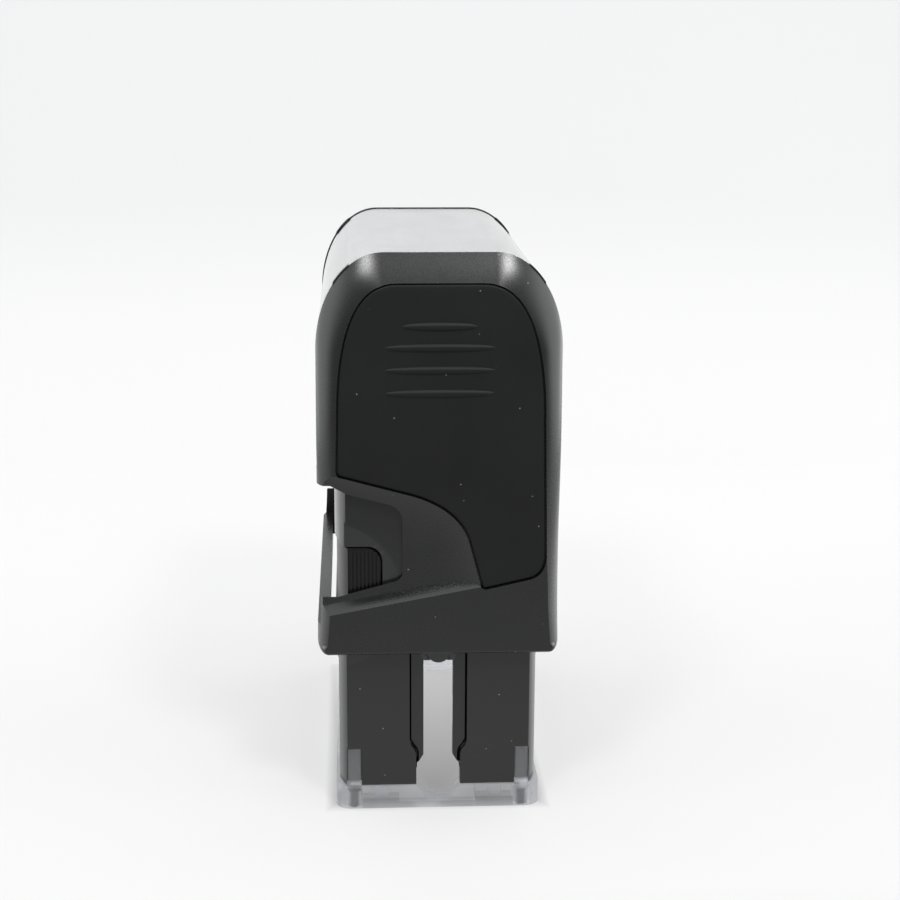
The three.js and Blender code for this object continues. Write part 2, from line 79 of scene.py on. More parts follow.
CAP_END = CAP_HIGH.x
HEIGHT = CAP_HIGH.z
CAP_BOTTOM = CAP_LOW.z
SIDE_FOOT = CAP_HIGH.y  # half depth at the lower rim
SIDE_TOP = SIDE_FOOT - 0.25  # half depth where the top corners start
CORNER_Z = HEIGHT - 14.5  # height where the top corners start
CORNER_RY = 10.1
CORNER_RZ = HEIGHT - CORNER_Z
END_WALL_IN = 32.35  # inner faces of the end walls and side walls
SIDE_WALL_IN = 16.95
BAY_X = WINDOW_HIGH.x + 0.1  # half length of the bay that the window lies in
WINDOW_T = 1.1
WINDOW_SUNK = 0.15  # the window's face lies this far under the rim's
TAB_Y = (13.4, 15.8)  # the rim's tabs lie between these at both sides, above TAB_Z
TAB_Z = 79
TAB_LONG = 1.1
TAB_PROUD = 0.12
CARD_GAP = 0.15
CARD_T = 0.35
DECK_OUT = 1.9  # the deck under the card: how far its two faces lie in from the cap's outline
DECK_IN = 3.7
DECK_FOOT_Z = 76
SILL_TOP = WINDOW_LOW.z - 0.15  # the crossbar under the window
SILL_Z = SILL_TOP - 2.6
BAND_TOP = CAP_BOTTOM + 9
MOUTH_Z = TRAY_BOTTOM - 0.35
SEAT_GAP = 0.2  # between a side panel and its seat in the cap


# ---- outlines: lists of (u, v) points ----
def arc(centre, radii, start, end, steps):
    """Points on an ellipse's arc, angles in degrees."""
    angles = np.radians(np.linspace(start, end, steps + 1))
    return [(centre[0] + radii[0] * math.cos(a), centre[1] + radii[1] * math.sin(a)) for a in angles]


def bezier(points, steps):
    """Points on a quadratic or cubic curve, without its first point."""
    made = []
    for k in range(1, steps + 1):
        level = [Vector(p) for p in points]
        while len(level) > 1:
            level = [a.lerp(b, k / steps) for a, b in zip(level, level[1:])]
        made.append(tuple(level[0]))
    return made


def rounded_rect(u0, u1, v0, v1, r):
    corners = [(u1 - r, v0 + r, -90), (u1 - r, v1 - r, 0), (u0 + r, v1 - r, 90), (u0 + r, v0 + r, 180)]
    return [p for cu, cv, a in corners for p in arc((cu, cv), (r, r), a, a + 90, 6)]


def cap_outline(offset=0.0, bottom=CAP_BOTTOM, corner=0.0, steps=20, stops=8):
    """The cap seen along X, counter-clockwise from the front bottom corner, pulled in by an offset."""
    foot, top = SIDE_FOOT - offset, SIDE_TOP - offset
    ry, rz = CORNER_RY - offset, CORNER_RZ - offset
    if corner:
        points = arc((corner - foot, bottom + corner), (corner, corner), 180, 270, 5)
        points += arc((foot - corner, bottom + corner), (corner, corner), -90, 0, 5)
    else:
        points = [(-foot, bottom), (foot, bottom)]
    rises = [bottom + corner + k * (CORNER_Z - bottom - corner) / stops for k in range(1, stops)]
    slope = (top - foot) / (CORNER_Z - bottom)
    points += [(foot + slope * (z - bottom), z) for z in rises]
    points += arc((top - ry, CORNER_Z), (ry, rz), 0, 90, steps)
    points += arc((ry - top, CORNER_Z), (ry, rz), 90, 180, steps)
    points += [(-foot - slope * (z - bottom), z) for z in reversed(rises)]
    return points


def panel_outline(g=0.0):
    """The inset side panel's edge, seen along X, clockwise from its front lower corner, grown by g."""
    points = [(-14.9 - g, 55.05 - g), (-14.2, 54.85 - g), (-6, 52.6 - g)]
    points += bezier([(-6, 52.6 - g), (3.6 - g, 50.4 - g), (4.9 - g, 43.7)], 14)
    points += [(6.6 - g, 37.5 - g), (6.8, 37.25 - g), (7.2, 37.2 - g)]
    points += [(13.9, 38.7 - g)]
    points += bezier([(13.9, 38.7 - g), (16.2 + g, 39.4 - g), (16.2 + g, 42.4)], 8)
    points += [(15.95 + g, 54), (15.7 + g, 66)]
    points += bezier([(15.7 + g, 66), (15.3 + g, 76), (13 + g, 84 + g), (6.5, 84 + g)], 22)
    points += [(0, 84 + g), (-6.5, 84 + g)]
    points += bezier([(-6.5, 84 + g), (-12.8 - g, 84 + g), (-15 - g, 76), (-15.3 - g, 66)], 22)
    points += [(-15.5 - g, 56.2)]
    points += bezier([(-15.5 - g, 56.2), (-15.5 - g, 55.2 - g), (-14.9 - g, 55.05 - g)], 4)[:-1]
    return points


def mouth_outline():
    """The finger notch in the cap's end wall, open to the front."""
    points = [(-24, BAND_TOP), (-15.5, BAND_TOP), (-6.9, 37.8)]
    points += bezier([(-6.9, 37.8), (-5.6, 38.15), (-5.6, 39.4)], 6)
    points += [(-5.6, 47.4)]
    points += bezier([(-5.6, 47.4), (-5.6, 49.8), (-7.9, 50.4)], 8)
    points += [(-14, 52), (-16.5, SILL_Z), (-24, SILL_Z)]
    return points


# ---- mesh building ----
AXES = {"X": (1, 2, 0), "Y": (2, 0, 1), "Z": (0, 1, 2)}
MIRROR_X = Matrix.Scale(-1, 4, Vector((1, 0, 0)))


def new_object(name, verts, faces):
    mesh = bpy.data.meshes.new(name)
    mesh.from_pydata([tuple(v) for v in verts], [], faces)
    made = bpy.data.objects.new(name, mesh)
    bpy.context.scene.collection.objects.link(made)
    bm = bmesh.new()
    bm.from_mesh(mesh)
    bmesh.ops.recalc_face_normals(bm, faces=bm.faces)
    bm.to_mesh(mesh)
    bm.free()
    return made


def loft(name, sections):
    """A closed skin through sections with equally many points, with a flat face at both ends."""
    n = len(sections[0])
    verts = [point for section in sections for point in section]
    faces = [tuple(range(n)), tuple(range(len(verts) - 1, len(verts) - n - 1, -1))]
    for a in range(0, len(verts) - n, n):
        faces += [(a + k, a + (k + 1) % n, a + n + (k + 1) % n, a + n + k) for k in range(n)]
    return new_object(name, verts, faces)


def prism(name, axis, outline, low, high):
    """An outline drawn across an axis and stretched along it.

    Along X the outline's points are (y, z), along Y they are (z, x) and along Z they are (x, y).
    """

    def placed(u, v, level):
        point = [0, 0, 0]
        for index, value in zip(AXES[axis], (u, v, level)):
            point[index] = value
        return point

    return loft(name, [[placed(u, v, level) for u, v in outline] for level in (low, high)])


def block(name, low, high):
    (x0, y0, z0), (x1, y1, z1) = low, high
    return prism(name, "Z", [(x0, y0), (x1, y0), (x1, y1), (x0, y1)], z0, z1)


def mirror(piece):
    """Turns a piece of the right end into one of the left end."""
    piece.data.transform(MIRROR_X)
    piece.data.flip_normals()
    return piece


def both_ends(make):
    """The same cutter at both ends of the stamp."""
    return [make("cut_right"), mirror(make("cut_left"))]


def bake(piece):
    """The piece's modifiers become its mesh."""
    bpy.context.view_layer.update()
    evaluated = piece.evaluated_get(bpy.context.evaluated_depsgraph_get())
    mesh = bpy.data.meshes.new_from_object(evaluated)
    piece.modifiers.clear()
    old, piece.data = piece.data, mesh
    bpy.data.meshes.remove(old)
    return piece


def carve(piece, cutters, operation="DIFFERENCE"):
    for cutter in cutters:
        modifier = piece.modifiers.new("carve", "BOOLEAN")
        modifier.operation = operation
        modifier.object = cutter
        modifier.solver = "MANIFOLD"
        bake(piece)
        bpy.data.objects.remove(cutter)
    return piece


def mend(piece, flat=0.5):
    """Joins doubled points and, up to an angle in degrees, makes flat faces whole again."""
    bm = bmesh.new()
    bm.from_mesh(piece.data)
    bmesh.ops.remove_doubles(bm, verts=bm.verts, dist=0.004)
    if flat:
        bmesh.ops.dissolve_limit(
            bm, angle_limit=math.radians(flat), verts=bm.verts, edges=bm.edges, delimit={"NORMAL"}
        )
        bmesh.ops.connect_verts_concave(bm, faces=bm.faces)
    bm.to_mesh(piece.data)
    bm.free()
    return piece


def copy_of(node, flat=0.5):
    """A copy of a CAD node's mesh, in millimetres, mended. Its faces are left alone where flat is 0."""
    mesh = frame["nodes"][node].data.copy()
    mesh.transform(Matrix.Scale(1 / MM, 4))
    mesh.materials.clear()
    made = bpy.data.objects.new(node + "_look", mesh)
    bpy.context.scene.collection.objects.link(made)
    return mend(made, flat)


def finish(piece, node, material, bevel=0.0, limit=32):
    """Scales a piece to metres, rounds its edges, and puts it on the body of the CAD node it stands for.

    Edges that fold by more than the limit, in degrees, are rounded, or stay sharp without a bevel.
    """
    record = frame["record"]
    body = next(b for b, nodes in record["behaviour"]["bodies"].items() if node in nodes)
    fold = math.radians(limit)
    piece.data.transform(Matrix.Scale(MM, 4))
    piece.data.shade_smooth()
    bm = bmesh.new()
    bm.from_mesh(piece.data)
    for edge in bm.edges:
        folded = len(edge.link_faces) == 2 and edge.calc_face_angle(0) >= fold
        edge.smooth = bool(bevel) or not folded
    bm.to_mesh(piece.data)
    bm.free()
    if bevel:
        rounding = piece.modifiers.new("edges", "BEVEL")
        rounding.width = bevel * MM
        rounding.segments = 2
        rounding.limit_method = "ANGLE"
        rounding.angle_limit = fold
        rounding.miter_outer = "MITER_ARC"
        rounding.harden_normals = True
        weights = piece.modifiers.new("normals", "WEIGHTED_NORMAL")
        weights.keep_sharp = True
    piece.data.materials.clear()
    piece.data.materials.append(material)
    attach(piece, body)
    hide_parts(node)
    return piece


# ---- materials ----
class Tree:
    """A short way to write a node tree."""

    def __init__(self, tree):
        self.tree = tree

    def add(self, kind, **values):
        node = self.tree.nodes.new(kind)
        for key, value in values.items():
            setattr(node, key, value)
        return node

    def feed(self, source, socket):
        """Links another node's output to a socket, or gives the socket a number or a colour."""
        if isinstance(source, bpy.types.NodeSocket):
            self.tree.links.new(source, socket)
        elif isinstance(source, tuple):
            socket.default_value = (*source, 1)
        else:
            socket.default_value = source

    def ramp(self, source, low, high, to_low, to_high, kind="LINEAR"):
        """Brings the range from low to high to another range, and stays inside that."""
        node = self.add("ShaderNodeMapRange", interpolation_type=kind)
        limits = {"From Min": low, "From Max": high, "To Min": to_low, "To Max": to_high}
        for key, value in limits.items():
            node.inputs[key].default_value = value
        self.feed(source, node.inputs["Value"])
        return node.outputs["Result"]

    def maths(self, operation, a, b=None):
        node = self.add("ShaderNodeMath", operation=operation)
        self.feed(a, node.inputs[0])
        if b is not None:
            self.feed(b, node.inputs[1])
        return node.outputs[0]


class Nodes(Tree):
    """The nodes of a new material, round its Principled shader."""

    def __init__(self, name):
        self.material = bpy.data.materials.new(name)
        self.material.use_nodes = True
        super().__init__(self.material.node_tree)
        self.shader = self.tree.nodes["Principled BSDF"]
        self.coordinates = self.add("ShaderNodeTexCoord").outputs["Object"]

    def set(self, **values):
        for key, value in values.items():
            self.shader.inputs[key.replace("_", " ")].default_value = value

    def to(self, source, socket):
        self.feed(source, self.shader.inputs[socket])

    def noise(self, scale, detail, roughness=0.5, stretch=None):
        node = self.add("ShaderNodeTexNoise")
        node.inputs["Scale"].default_value = scale
        node.inputs["Detail"].default_value = detail
        node.inputs["Roughness"].default_value = roughness
        source = self.coordinates
        if stretch:
            mapping = self.add("ShaderNodeMapping")
            mapping.inputs["Scale"].default_value = stretch
            self.feed(source, mapping.inputs["Vector"])
            source = mapping.outputs["Vector"]
        self.feed(source, node.inputs["Vector"])
        return node.outputs["Fac"]

    def between(self, noise, low=0, high=1):
        """Noise brought to a range. Most of it runs from 0.3 to 0.7."""
        return self.ramp(noise, 0.3, 0.7, low, high)

    def cells(self, apart):
        """The distance to the nearest of many scattered points, which are about this many mm apart."""
        node = self.add("ShaderNodeTexVoronoi")
        node.inputs["Scale"].default_value = 1 / (apart * MM)
        self.feed(self.coordinates, node.inputs["Vector"])
        return node.outputs["Distance"]

    def dust(self, apart):
        """Above zero on sparse specks about 0.2 mm across, where a scattered point lies at the surface."""
        return self.ramp(self.cells(apart), 0.03, 0.05, 0.4, 0)

    def edges(self, reach):
        """Above zero within a reach in mm of a sharp edge."""
        soft = self.add("ShaderNodeBevel", samples=4)
        soft.inputs["Radius"].default_value = reach * MM
        dot = self.add("ShaderNodeVectorMath", operation="DOT_PRODUCT")
        self.feed(soft.outputs["Normal"], dot.inputs[0])
        self.feed(self.add("ShaderNodeNewGeometry").outputs["Normal"], dot.inputs[1])
        return self.ramp(dot.outputs["Value"], 1, 0, 0, 1)

    def mix(self, factor, a, b):
        node = self.add("ShaderNodeMix", data_type="RGBA")
        self.feed(factor, node.inputs["Factor"])
        self.feed(a, node.inputs["A"])
        self.feed(b, node.inputs["B"])
        return node.outputs["Result"]

    def times(self, a, b):
        """Two colours or values multiplied."""
        node = self.add("ShaderNodeMix", data_type="RGBA", blend_type="MULTIPLY")
        node.inputs["Factor"].default_value = 1
        self.feed(a, node.inputs["A"])
        self.feed(b, node.inputs["B"])
        return node.outputs["Result"]

    def bump(self, source, distance, strength=1.0):
        node = self.add("ShaderNodeBump")
        node.inputs["Distance"].default_value = distance
        node.inputs["Strength"].default_value = strength
        self.feed(source, node.inputs["Height"])
        self.to(node.outputs["Normal"], "Normal")


def grey(level):
    return (level, level, level)


def scaled(colour, factor):
    return tuple(c * factor for c in colour)


DUST = grey(0.3)
UNEVEN = 0.05  # how much a moulded surface's roughness varies


def moulded(name, colour, edge_wear_and_highlight, roughness, grain=0.3, depth=1.2e-6, specular=0.5, painted_dish=None):
    """Moulded plastic: grain of a size in mm, a faint flow variation, dust, and edges made lighter, partly
    rubbed wear and partly a painted highlight.

    Given a spot, it paints a lighter round patch on the end walls, a painted reflection: the spot's centre
    in Y and Z, its radius, and how much lighter.
    """
    m = Nodes(name)
    m.set(Specular_IOR_Level=specular)
    fine = m.noise(1 / (grain * MM), detail=2)
    broad = m.noise(60, detail=4, roughness=0.6)
    tint = m.mix(m.between(broad), colour, scaled(colour, 1.25))
    if painted_dish:
        y, z, radius, lighter = painted_dish
        flat = m.add("ShaderNodeVectorMath", operation="MULTIPLY")
        flat.inputs[1].default_value = (0, 1, 1)
        m.feed(m.coordinates, flat.inputs[0])
        away = m.add("ShaderNodeVectorMath", operation="DISTANCE")
        away.inputs[1].default_value = (0, y * MM, z * MM)
        m.feed(flat.outputs["Vector"], away.inputs[0])
        # painted reflection: a lighter round spot on the end walls
        inside = m.ramp(away.outputs["Value"], (radius + 0.05) * MM, (radius - 0.1) * MM, 0, 1)
        tint = m.mix(inside, tint, scaled(colour, lighter))
    # edges lighter: partly rubbed wear, partly a painted highlight along them
    toned = m.mix(m.ramp(m.edges(0.25), 0.03, 0.2, 0, 0.5), tint, edge_wear_and_highlight)
    m.to(m.mix(m.dust(2.5), toned, DUST), "Base Color")
    coarse = m.between(broad, roughness - UNEVEN / 2, roughness + UNEVEN / 2)
    m.to(m.maths("ADD", coarse, m.ramp(fine, 0.35, 0.65, -UNEVEN / 3, UNEVEN / 3)), "Roughness")
    m.bump(fine, depth)
    return m.material


def clear_plastic(name, tint, roughness, thin=0.0, milky=0.0):
    """Clear moulded plastic, with shares of light that go straight through and that scatter in it."""
    m = Nodes(name)
    if thin:
        through = m.add("ShaderNodeBsdfTransparent")
        blend = m.add("ShaderNodeMixShader")
        m.feed(tint, through.inputs["Color"])
        m.feed(thin, blend.inputs["Fac"])
        m.feed(m.shader.outputs["BSDF"], blend.inputs[1])
        m.feed(through.outputs["BSDF"], blend.inputs[2])
        m.feed(blend.outputs["Shader"], m.tree.nodes["Material Output"].inputs["Surface"])
    m.set(Base_Color=(*tint, 1), Transmission_Weight=1.0 - milky, IOR=1.5)
    haze = m.noise(220, detail=5, roughness=0.65)
    m.to(m.ramp(haze, 0.4, 0.75, roughness, roughness + 0.07), "Roughness")
    m.bump(m.noise(45, detail=1), 2e-5, 0.15)
    return m.material


def card_stock(name, white):
    m = Nodes(name)
    fibre = m.noise(900, detail=6, roughness=0.7, stretch=(0.35, 1, 1))
    shadow, light = scaled((0.94, 0.95, 0.97), white), scaled((1.0, 1.01, 1.03), white)
    m.to(m.mix(m.between(fibre), shadow, light), "Base Color")
    m.to(m.between(fibre, 0.8, 0.9), "Roughness")
    m.bump(fibre, 1.5e-5)
    return m.material


def porous(name, dark, light, pore, depth, sheen=0.0):
    """Felt or foam, with pores this many mm apart."""
    m = Nodes(name)
    cells = m.cells(pore)
    # the pores are darker in their pits: painted shade
    m.to(m.mix(m.ramp(cells, 0.1, 0.7, 0, 1), dark, light), "Base Color")
    m.to(m.between(m.noise(140, detail=4), 0.8, 1.0), "Roughness")
    m.set(Sheen_Weight=sheen, Sheen_Roughness=0.5)
    m.bump(cells, depth)
    return m.material


def rubber(name, colour, dusty):
    m = Nodes(name)
    grain = m.noise(2600, detail=3)
    dust = m.noise(160, detail=5, roughness=0.65)
    m.to(m.mix(m.ramp(dust, 0.45, 0.8, 0, 1), colour, dusty), "Base Color")
    m.to(m.between(grain, 0.62, 0.78), "Roughness")
    m.bump(grain, 1e-5)
    return m.material


def spring_wire(name):
    m = Nodes(name)
    drawn = m.noise(1500, detail=4, stretch=(1, 1, 0.15))
    m.set(Metallic=1.0)
    m.to(m.mix(m.between(drawn), (0.42, 0.43, 0.45), (0.62, 0.63, 0.65)), "Base Color")
    m.to(m.between(drawn, 0.22, 0.4), "Roughness")
    m.bump(drawn, 4e-6)
    return m.material


FRAME_PAINTED_DISH = (-17.5, 35.5, 12, 2.6)  # a painted reflection: a lighter round spot on the hollow in the frame's end walls, over the cartridge's grip

CAP_BLACK = moulded("cap_black_satin", (0.0045, 0.0048, 0.0046), grey(0.014), 0.26, specular=0.4)
PANEL_BLACK = moulded(
    "panel_soft_matte", (0.0055, 0.0058, 0.0056), grey(0.02), 0.5, grain=0.22, depth=3e-6, specular=0.13
)
TRAY_BLACK = moulded("tray_black", (0.0025, 0.0026, 0.0026), grey(0.008), 0.35, specular=0.25)
# the frame's end walls carry a painted reflection, a lighter round spot over the cartridge's grip
FRAME_BLACK_PAINTED_DISH = moulded(
    "frame_black_painted_dish", (0.004, 0.0042, 0.0041), grey(0.012), 0.2, specular=0.46, painted_dish=FRAME_PAINTED_DISH
)
CARRIER_GREY = moulded("carrier_dark_grey", (0.012, 0.0125, 0.013), grey(0.08), 0.4)
BUTTON_GREY = moulded("button_mid_grey", (0.09, 0.097, 0.102), grey(0.2), 0.4)
CLEAR_WINDOW = clear_plastic("window_clear", (0.97, 0.98, 0.985), 0.04)
CLEAR_FOOT = clear_plastic("foot_clear", (0.9, 0.905, 0.925), 0.02, thin=0.52, milky=0.1)
CARD = card_stock("index_card_white", 0.48)
FELT = porous("ink_felt", (0.004, 0.005, 0.02), (0.016, 0.02, 0.07), 0.35, 1.2e-4, sheen=0.2)
FOAM = porous("die_foam_pale", (0.4, 0.41, 0.39), (0.66, 0.67, 0.64), 0.3, 6e-5)
STAMP_RUBBER = rubber("stamp_rubber_red", (0.22, 0.035, 0.03), (0.3, 0.08, 0.07))
FOOT_RUBBER = rubber("foot_rubber_black", grey(0.012), grey(0.05))
STEEL = spring_wire("spring_steel")


# ---- the cap's shell ----
def smoothstep(value, start, end):
    t = min(max((value - start) / (end - start), 0), 1)
    return t * t * (3 - 2 * t)


def blend(a, b, share):
    return a + (b - a) * share


def seat_distance(point, normal, seat):
    """How far in from a point on the cap's outline the panel's seat starts. None where there is no seat."""
    nearest = None
    for (ay, az), (by, bz) in zip(seat, seat[1:] + seat[:1]):
        dy, dz = by - ay, bz - az
        turn = -normal[0] * dz + normal[1] * dy
        if abs(turn) < 1e-9:
            continue
        reach = ((ay - point[0]) * dz - (az - point[1]) * dy) / turn
        along = ((ay - point[0]) * -normal[1] + (az - point[1]) * normal[0]) / turn
        if 0 <= along <= 1 and 0 < reach < 9 and (nearest is None or reach < nearest):
            nearest = reach
    return nearest


RIM_ACROSS = 1.9  # low down, the rim's slope reaches this far across the end face
RIM_PAST_SEAT = 0.35  # higher up it reaches this far past the panel's seat, up to a limit
RIM_ACROSS_MOST = 6
RIM_ACROSS_BARE = 3.2  # or this far where there is no seat
RIM_ACROSS_Z = (36, 50)  # it changes from low to higher between these heights
RIM_LONG = (5.0, 2.45)  # how far it reaches along the stamp, low down and higher up
RIM_LONG_Z = (46, 56)
RIM_FLAT = (0.6, 0.1, 0.88)  # how flat the slope is: low down, higher up the sides, and at the top
RIM_EDGE = 0.45  # its reach both ways at the cap's lower edge


def rim_reaches(outline, normals):
    """How far the rim's slope reaches at each point, across the end face and along, and how flat it is."""
    seat = panel_outline(SEAT_GAP)
    reaches = []
    for point, normal in zip(outline, normals):
        up, down = max(normal[1], 0), max(-normal[1], 0)
        found = seat_distance(point, normal, seat)
        high = min(found + RIM_PAST_SEAT, RIM_ACROSS_MOST) if found else RIM_ACROSS_BARE
        body = smoothstep(point[1], *RIM_ACROSS_Z)
        across = blend(RIM_ACROSS, high, body)
        long = blend(*RIM_LONG, smoothstep(point[1], *RIM_LONG_Z))
        flat = blend(blend(RIM_FLAT[0], RIM_FLAT[1], body), RIM_FLAT[2], up**0.6)
        reaches.append((blend(across, RIM_EDGE, down), blend(long, RIM_EDGE, down), flat * (1 - down)))
    n = len(reaches)
    near = range(-3, 4)  # each point takes the mean over itself and its neighbours
    smoothed = []
    for k in range(n):
        smoothed.append(tuple(sum(reaches[(k + d) % n][i] for d in near) / len(near) for i in range(3)))
    return smoothed


def rim_section(t, flat):
    """A point of the slope's section, from the side (t = 0) to the end face (t = 1).

    The section is a quarter round where flat is 0 and a chamfer where it is 1.
    """
    a = t * math.pi / 2
    return (1 - math.cos(a)) * (1 - flat) + t * flat, math.sin(a) * (1 - flat) + t * flat


def cap_body():
    """The cap as a solid block, with its sloping rims."""
    outline = cap_outline(corner=1.6, steps=32, stops=20)
    n = len(outline)
    normals = []
    for k in range(n):
        (y0, z0), (y1, z1) = outline[k - 1], outline[(k + 1) % n]
        normals.append(Vector((z1 - z0, y0 - y1)).normalized())
    reaches = rim_reaches(outline, normals)
    steps = 12
    rings = []
    for k in range(steps + 1):
        ring = []
        for point, normal, (across, along, flat) in zip(outline, normals, reaches):
            inward, outward = rim_section(k / steps, flat)
            ring.append((
                CAP_END - along * (1 - outward),
                point[0] - normal[0] * across * inward,
                point[1] - normal[1] * across * inward,
            ))
        rings.append(ring)
    return loft("cap_shell_look", [[(-x, y, z) for x, y, z in ring] for ring in reversed(rings)] + rings)


SCOOP_EDGE = [(-24, 57.6), (-14.4, 54.75), (-6, 52.45)]  # (y, z) along the finger scoop's upper edge
SCOOP_EDGE += bezier([(-6, 52.45), (3.45, 50.25), (4.75, 43.7)], 14)
SCOOP_EDGE += [(6.5, 37.3), (8.6, 30)]
SCOOP_DEEP = 2.1
SCOOP_FADE = 2.8  # this far inside its edge the scoop has nearly two thirds of its depth
SCOOP_STEP = 0.4  # between the points of its floor
RIDGE = (-17.06, 33.1)  # a point (y, z) on the ridge of the lower band
RIDGE_SLOPE = 0.186
LEDGE_RISE = 2.1  # the ledge drops off to the ridge over this height


def scoop_depth(y, z):
    """How deep the finger scoop lies under the end face. Outside its edge it is a little below zero."""
    near = math.inf
    for (ay, az), (by, bz) in zip(SCOOP_EDGE, SCOOP_EDGE[1:]):
        dy, dz = by - ay, bz - az
        t = min(max(((y - ay) * dy + (z - az) * dz) / (dy * dy + dz * dz), 0), 1)
        distance = math.hypot(y - ay - t * dy, z - az - t * dz)
        if distance < abs(near):
            near = distance if (y - ay) * dz - (z - az) * dy > 0 else -distance
    return SCOOP_DEEP * (1 - math.exp(-near / SCOOP_FADE)) if near > 0 else max(near * 0.5, -0.6)


def scoop(name):
    """What the finger scoop takes from the end face: a slab with the scoop's floor as its inner side."""
    ys = np.arange(-20, 9.01, SCOOP_STEP)
    zs = np.arange(30.4, 58.01, SCOOP_STEP)
    verts = [(CAP_END - scoop_depth(y, z), y, z) for y in ys for z in zs]
    verts += [(CAP_END + 1.5, y, z) for y in ys for z in zs]
    rows, columns = len(ys), len(zs)
    half = rows * columns
    faces = []
    for i in range(rows - 1):
        for j in range(columns - 1):
            a = i * columns + j
            faces.append((a, a + 1, a + columns + 1, a + columns))
            faces.append((half + a, half + a + columns, half + a + columns + 1, half + a + 1))
    rim = [i * columns for i in range(rows)] + [(rows - 1) * columns + j for j in range(1, columns)]
    rim += [i * columns + columns - 1 for i in range(rows - 2, -1, -1)] + list(range(columns - 2, 0, -1))
    faces += [(a, b, half + b, half + a) for a, b in zip(rim, rim[1:] + rim[:1])]
    return carve(new_object(name, verts, faces), [scoop_ledge()])


def scoop_ledge():
    """What stays under the scoop: a ledge that drops off to its outer edge, along a sloping ridge."""
    outside, inside, foot = CAP_END + 3, CAP_END - 6, -14
    front, rear = -8, 28  # along the ridge, from its given point
    section = [(outside, foot), (outside, 0.0), (CAP_END, 0.0)]
    section += [(CAP_END - 0.95 * r - 0.42 * r * r, r) for r in np.linspace(0.15, LEDGE_RISE, 14)]
    section += [(inside, LEDGE_RISE), (inside, foot)]
    ledge = prism("ledge", "Y", [(rise, x) for x, rise in section], front, rear)
    turn = Matrix.Rotation(math.atan(RIDGE_SLOPE), 4, "X")
    ledge.data.transform(Matrix.Translation((0, *RIDGE)) @ turn)
    return ledge


def band(name, outer, inner, half_length, level, start=None):
    """A shell between two offsets of the cap's outline, above a level. With a start, one end of it only."""

    def skin(offset):
        points = [p for p in cap_outline(offset, steps=28)[2:] if p[1] > level + 0.01]
        return [(points[0][0], level), *points, (points[-1][0], level)]

    outline = skin(outer) + skin(inner)[::-1]
    return prism(name, "X", outline, -half_length if start is None else start, half_length)


def corner_tabs(clearance=0.0, proud=0.0):
    """The rim's small tabs that fill the notches in the window, at its four top corners."""
    near, far = TAB_Y[0] - clearance, TAB_Y[1] + clearance
    start = BAY_X - TAB_LONG - clearance
    inside, outside, below, above = start - 10, CAP_END + 5, 60, HEIGHT + 10  # clear of the tabs

    def tabs(name):
        pair = band(name, -proud - clearance, DECK_OUT + 0.6, BAY_X + 0.3, below, start)
        front = block("front", (inside, -far, TAB_Z), (outside, -near, above))
        rear = block("rear", (inside, near, TAB_Z), (outside, far, above))
        return carve(pair, [carve(front, [rear], "UNION")], "INTERSECT")

    return both_ends(tabs)


def end_cutters(outline, depth):
    """An outline cut into both end walls, from a depth to past the end."""
    return both_ends(lambda name: prism(name, "X", outline, depth, CAP_END + 1))


def cap_shell():
    shell = cap_body()
    below, within, beyond = 10, 10, 30  # clear of the cap's lower edge, inside its walls, and past them
    hole = rounded_rect(
        BUTTON_LOW.z + 0.8, BUTTON_HIGH.z - 0.8, BUTTON_LOW.x + 0.95, BUTTON_HIGH.x - 0.95, 1.5
    )
    cutters = [
        band("bay", -6, DECK_OUT, BAY_X, SILL_TOP),
        prism("cavity", "X", cap_outline(DECK_IN, bottom=below), -END_WALL_IN, END_WALL_IN),
        block("well", (-END_WALL_IN, -SIDE_WALL_IN, below), (END_WALL_IN, SIDE_WALL_IN, DECK_FOOT_Z)),
        block("opening", (-BAY_X, -beyond, SILL_TOP), (BAY_X, beyond, DECK_FOOT_Z)),
        block("mouth", (-BAY_X, -beyond, MOUTH_Z), (BAY_X, -within, SILL_Z)),
        prism("hole", "Y", hole, within, beyond),
    ]
    cutters += end_cutters(mouth_outline(), BAY_X - 0.5)
    cutters += end_cutters(panel_outline(SEAT_GAP), PANEL_LOW.x - 0.15)
    cutters += both_ends(scoop)
    carve(shell, cutters)
    return carve(shell, corner_tabs(proud=TAB_PROUD), "UNION")


finish(cap_shell(), "cap_shell", CAP_BLACK, bevel=0.1)


# ---- side panels ----
GRIP_RIBS = [(67.7, 8.3), (71.2, 8.3), (74.6, 8.3), (77.8, 5.6)]  # height, half length
PANEL_ROUND = 0.3  # radius of a panel's outer edge


def panel_crown(scale):
    """How far out a panel's slightly crowned face lies, from its middle (scale = 0) to its edge (1)."""
    return PANEL_HIGH.x - 0.2 + 0.17 * (1 - scale * scale)


def side_panel(name):
    outline = panel_outline()
    centre = Vector((4.0, 62.0))
    face = panel_crown(1)
    rings = [(PANEL_LOW.x, 0.0, 1.0)]  # (x, how far in from the outline, scale)
    for a in np.radians([0, 30, 60, 90]):
        rings.append((face - PANEL_ROUND * (1 - math.sin(a)), PANEL_ROUND * (1 - math.cos(a)), 1.0))
    rings += [(panel_crown(s), PANEL_ROUND, s) for s in (0.97, 0.92, 0.85, 0.75, 0.62, 0.48, 0.32, 0.16)]
    sections = []
    for x, inset, scale in rings:
        section = []
        for k, point in enumerate(outline):
            before, after = Vector(outline[k - 1]), Vector(outline[(k + 1) % len(outline)])
            along = (after - before).normalized()
            p = Vector(point) + Vector((-along.y, along.x)) * inset
            section.append((x, *(centre + (p - centre) * scale)))
        sections.append(section)
    return loft(name, sections)


